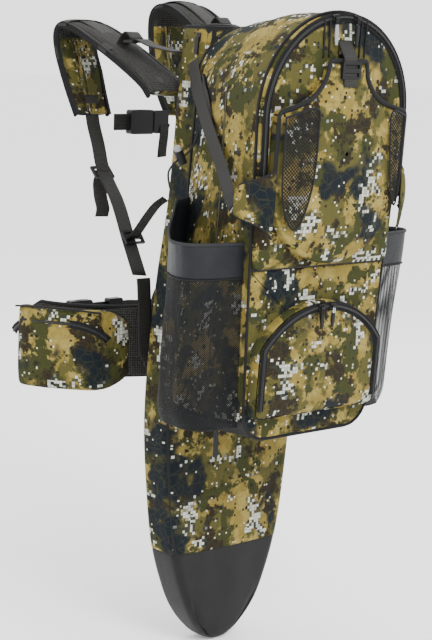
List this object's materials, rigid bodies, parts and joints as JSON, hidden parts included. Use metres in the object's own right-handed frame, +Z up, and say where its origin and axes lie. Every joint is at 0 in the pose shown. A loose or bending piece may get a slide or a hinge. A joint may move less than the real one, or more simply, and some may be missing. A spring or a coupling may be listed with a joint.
{
  "type": "hunting backpack",
  "caption": "Soft backpack with a rifle scabbard against the back, a panel-opening day bag in front, padded shoulder straps and a hip belt with pockets.",
  "frame": {"origin": "lowest point of the scabbard boot's nose, on the scabbard's middle plane", "axes": "+Z up along the scabbard, +Y toward the wearer's back, +X to the right of someone who faces the bag"},
  "size_m": [0.4952, 0.5736, 0.938],
  "materials": {
    "camo_fabric": "digital camouflage print on brushed polyester",
    "coated_fabric": "coated nylon",
    "black_fabric": "woven nylon over foam",
    "mesh": "open polyester mesh",
    "webbing": "ribbed polyester webbing",
    "cord": "braided cord",
    "zip_coil": "coil zip on woven tape",
    "moulded_plastic": "moulded acetal",
    "grey_plastic": "moulded acetal",
    "slider_metal": "painted zinc",
    "frame_plastic": "polyethylene sheet",
    "stay_metal": "plain"
  },
  "bodies": {
    "pack": {"scabbard_sleeve": "camo_fabric", "scabbard_boot": "coated_fabric", "scabbard_trim": "black_fabric", "bag_base": "coated_fabric", "main_bag_shell": "camo_fabric", "front_pocket_gusset": "camo_fabric", "side_mesh_pockets": "mesh", "side_pocket_collars": "black_fabric", "pocket_drawcord_left": "cord", "pocket_drawcord_right": "cord", "frame_sheet": "frame_plastic", "frame_stays": "stay_metal", "back_panel": "mesh", "lumbar_pad": "black_fabric", "haul_loop": "webbing", "strap_anchors": "webbing", "compression_straps": "webbing", "compression_buckles": "moulded_plastic"},
    "lid": {"lid_panel": "camo_fabric", "main_zip_coil": "zip_coil", "bib_pouch": "camo_fabric", "bib_mesh": "mesh", "bib_wings": "camo_fabric", "bib_strap": "webbing", "bib_ladder_lock": "moulded_plastic"},
    "pocket_flap": {"front_pocket_flap": "camo_fabric", "front_pocket_coil": "zip_coil"},
    "scabbard_slider": {"scabbard_zip_slider": "slider_metal"},
    "base_pull": {"base_zip_pull": "moulded_plastic"},
    "belt_plug": {"belt_buckle_plug": "moulded_plastic"},
    "sternum_socket": {"sternum_buckle_socket": "moulded_plastic"},
    "main_slider_left": {"main_zip_slider_left": "slider_metal"},
    "main_pull_left": {"main_zip_pull_left": "moulded_plastic"},
    "pocket_slider_left": {"front_pocket_slider_left": "slider_metal"},
    "pocket_pull_left": {"front_pocket_pull_left": "moulded_plastic"},
    "cord_lock_left": {"cord_lock_barrel_left": "moulded_plastic"},
    "cord_button_left": {"cord_lock_button_left": "grey_plastic"},
    "strap_left": {"shoulder_pad_left": "black_fabric", "strap_webbing_left": "webbing", "strap_adjusters_left": "moulded_plastic", "sternum_strap": "webbing", "sternum_buckle_plug": "moulded_plastic"},
    "belt_left": {"belt_wing_left": "black_fabric", "hip_pocket_left": "camo_fabric", "belt_webbing_left": "webbing", "belt_buckle_socket": "moulded_plastic"},
    "hip_slider_left": {"hip_zip_slider_left": "slider_metal"},
    "main_slider_right": {"main_zip_slider_right": "slider_metal"},
    "main_pull_right": {"main_zip_pull_right": "moulded_plastic"},
    "pocket_slider_right": {"front_pocket_slider_right": "slider_metal"},
    "pocket_pull_right": {"front_pocket_pull_right": "moulded_plastic"},
    "cord_lock_right": {"cord_lock_barrel_right": "moulded_plastic"},
    "cord_button_right": {"cord_lock_button_right": "grey_plastic"},
    "strap_right": {"shoulder_pad_right": "black_fabric", "strap_webbing_right": "webbing", "strap_adjusters_right": "moulded_plastic"},
    "belt_right": {"belt_wing_right": "black_fabric", "hip_pocket_right": "camo_fabric", "belt_webbing_right": "webbing"},
    "hip_slider_right": {"hip_zip_slider_right": "slider_metal"}
  },
  "joints": [
    {"name": "lid_hinge", "type": "hinge", "parent": "pack", "child": "lid", "pos_m": [0, -0.20182, 0.58537], "axis": [1, 0, 0], "range_deg": [0, 95]},
    {"name": "pocket_flap_hinge", "type": "hinge", "parent": "pack", "child": "pocket_flap", "pos_m": [0, -0.20411, 0.38193], "axis": [1, 0, 0], "range_deg": [0, 80]},
    {"name": "scabbard_slider_travel", "type": "slide", "parent": "pack", "child": "scabbard_slider", "axis": [-0.0817, 0, -0.9967], "range_m": [0, 0.15]},
    {"name": "base_pull_swing", "type": "hinge", "parent": "pack", "child": "base_pull", "pos_m": [-0.091, -0.1, 0.349], "axis": [1, 0, 0], "range_deg": [-45, 45]},
    {"name": "sternum_socket_travel", "type": "slide", "parent": "strap_left", "child": "sternum_socket", "axis": [-1, 0, 0], "range_m": [0, 0.0275]},
    {"name": "belt_plug_travel", "type": "slide", "parent": "belt_right", "child": "belt_plug", "axis": [-1, 0, 0], "range_m": [0, 0.0315]},
    {"name": "main_slider_left_travel", "type": "hinge", "parent": "lid", "child": "main_slider_left", "pos_m": [0, -0.21818, 0.79479], "axis": [0, -0.9984, -0.0558], "range_deg": [0, 65]},
    {"name": "main_pull_left_swing", "type": "hinge", "parent": "main_slider_left", "child": "main_pull_left", "pos_m": [-0.02003, -0.23012, 0.92226], "axis": [-1, 0, 0], "range_deg": [0, 150]},
    {"name": "pocket_slider_left_travel", "type": "hinge", "parent": "pocket_flap", "child": "pocket_slider_left", "pos_m": [0, -0.20711, 0.39965], "axis": [0, -0.9984, -0.0558], "range_deg": [0, 40]},
    {"name": "pocket_pull_left_swing", "type": "hinge", "parent": "pocket_slider_left", "child": "pocket_pull_left", "pos_m": [-0.01049, -0.21904, 0.53242], "axis": [-1, 0, 0], "range_deg": [0, 150]},
    {"name": "cord_lock_left_travel", "type": "slide", "parent": "pack", "child": "cord_lock_left", "axis": [0.885, -0.0421, 0.4636], "range_m": [0, 0.009]},
    {"name": "cord_button_left_press", "type": "slide", "parent": "cord_lock_left", "child": "cord_button_left", "axis": [0.464, 0, -0.8858], "range_m": [0, 0.003], "stiffness_N_per_m": 400, "springref_m": -0.004},
    {"name": "strap_left_swing", "type": "hinge", "parent": "pack", "child": "strap_left", "pos_m": [-0.112, 0.045, 0.65], "axis": [0, 0, 1], "range_deg": [0, 40]},
    {"name": "belt_left_swing", "type": "hinge", "parent": "pack", "child": "belt_left", "pos_m": [-0.104, 0.064, 0.45], "axis": [0, 0, 1], "range_deg": [0, 28]},
    {"name": "hip_slider_left_travel", "type": "slide", "parent": "belt_left", "child": "hip_slider_left", "axis": [0.4789, -0.8779, 0], "range_m": [0, 0.06]},
    {"name": "main_slider_right_travel", "type": "hinge", "parent": "lid", "child": "main_slider_right", "pos_m": [0, -0.21818, 0.79479], "axis": [0, 0.9984, 0.0558], "range_deg": [0, 65]},
    {"name": "main_pull_right_swing", "type": "hinge", "parent": "main_slider_right", "child": "main_pull_right", "pos_m": [0.02003, -0.23012, 0.92226], "axis": [-1, 0, 0], "range_deg": [0, 150]},
    {"name": "pocket_slider_right_travel", "type": "hinge", "parent": "pocket_flap", "child": "pocket_slider_right", "pos_m": [0, -0.20711, 0.39965], "axis": [0, 0.9984, 0.0558], "range_deg": [0, 40]},
    {"name": "pocket_pull_right_swing", "type": "hinge", "parent": "pocket_slider_right", "child": "pocket_pull_right", "pos_m": [0.01049, -0.21904, 0.53242], "axis": [-1, 0, 0], "range_deg": [0, 150]},
    {"name": "cord_lock_right_travel", "type": "slide", "parent": "pack", "child": "cord_lock_right", "axis": [-0.885, -0.0421, 0.4636], "range_m": [0, 0.009]},
    {"name": "cord_button_right_press", "type": "slide", "parent": "cord_lock_right", "child": "cord_button_right", "axis": [-0.464, 0, -0.8858], "range_m": [0, 0.003], "stiffness_N_per_m": 400, "springref_m": -0.004},
    {"name": "strap_right_swing", "type": "hinge", "parent": "pack", "child": "strap_right", "pos_m": [0.112, 0.045, 0.65], "axis": [0, 0, -1], "range_deg": [0, 40]},
    {"name": "belt_right_swing", "type": "hinge", "parent": "pack", "child": "belt_right", "pos_m": [0.104, 0.064, 0.45], "axis": [0, 0, -1], "range_deg": [0, 28]},
    {"name": "hip_slider_right_travel", "type": "slide", "parent": "belt_right", "child": "hip_slider_right", "axis": [-0.4789, -0.8779, 0], "range_m": [0, 0.06]}
  ]
}
